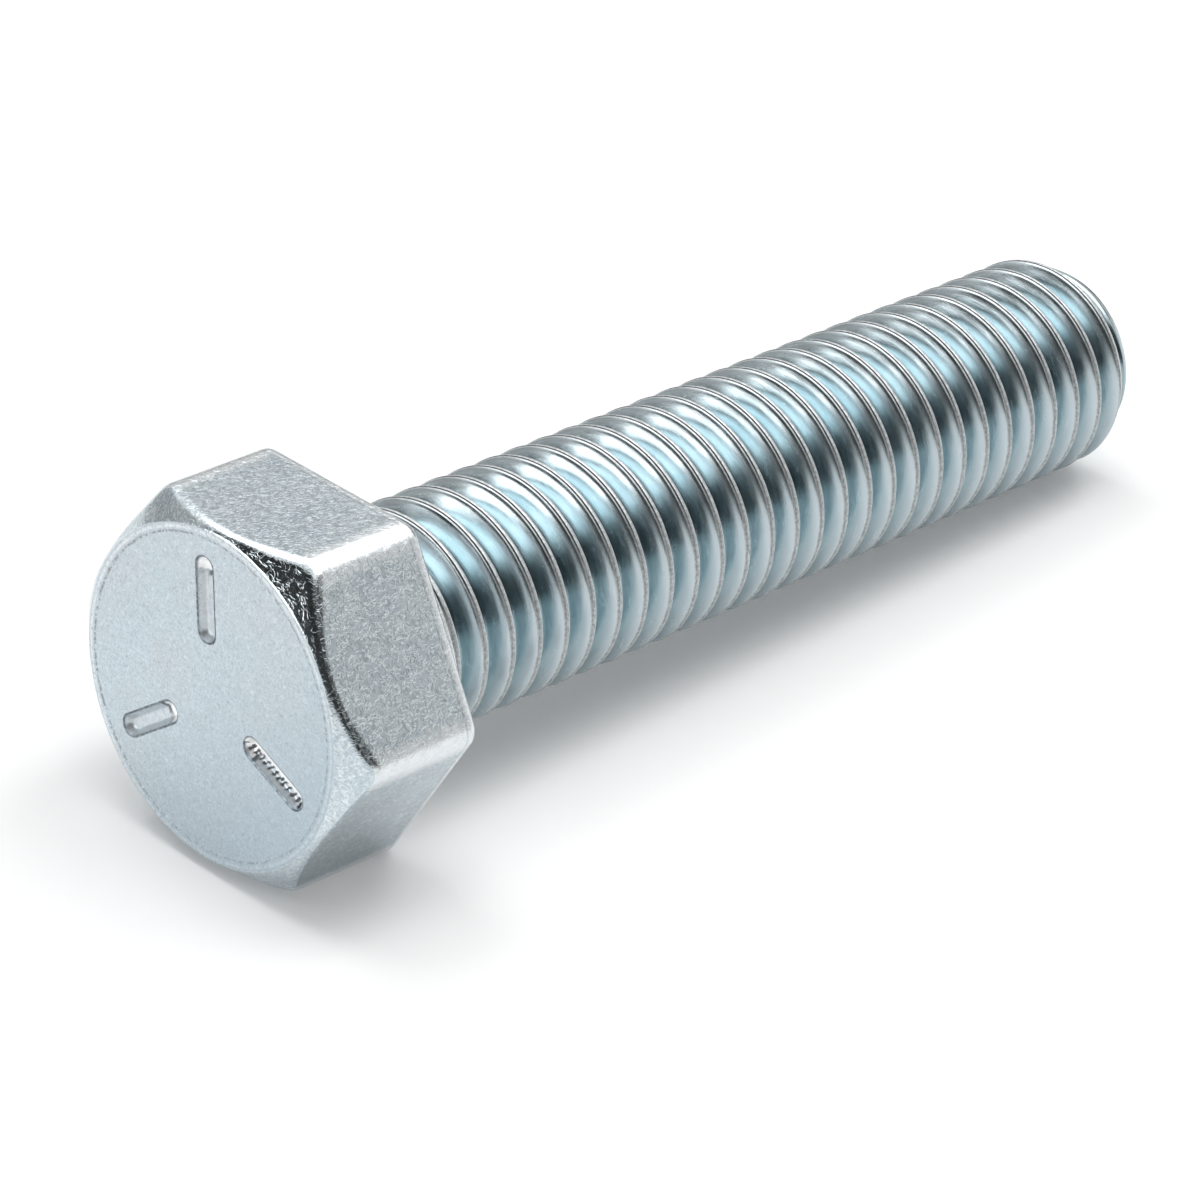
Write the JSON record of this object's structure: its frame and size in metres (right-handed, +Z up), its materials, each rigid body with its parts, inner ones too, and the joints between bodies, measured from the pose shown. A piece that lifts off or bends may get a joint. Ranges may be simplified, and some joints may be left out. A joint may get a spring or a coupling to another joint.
{
  "type": "hex tap bolt",
  "caption": "Zinc-plated hex tap bolt threaded over its whole length, lying on its side, with radial marks on the chamfered head.",
  "frame": {"origin": "middle of the box's base, on the surface that the bolt lies on", "axes": "+X along the bolt from head to point, as it lies; +Z up; the bolt's own axis slopes down towards the point by 3.44 degrees in the XZ plane"},
  "size_m": [0.0666, 0.0216, 0.0195],
  "materials": {
    "zinc_plated_steel": "clear to pale blue zinc plate, satin on the head and bright on the rolled thread"
  },
  "bodies": {
    "root": {"hex_tap_bolt": "zinc_plated_steel"}
  },
  "joints": []
}
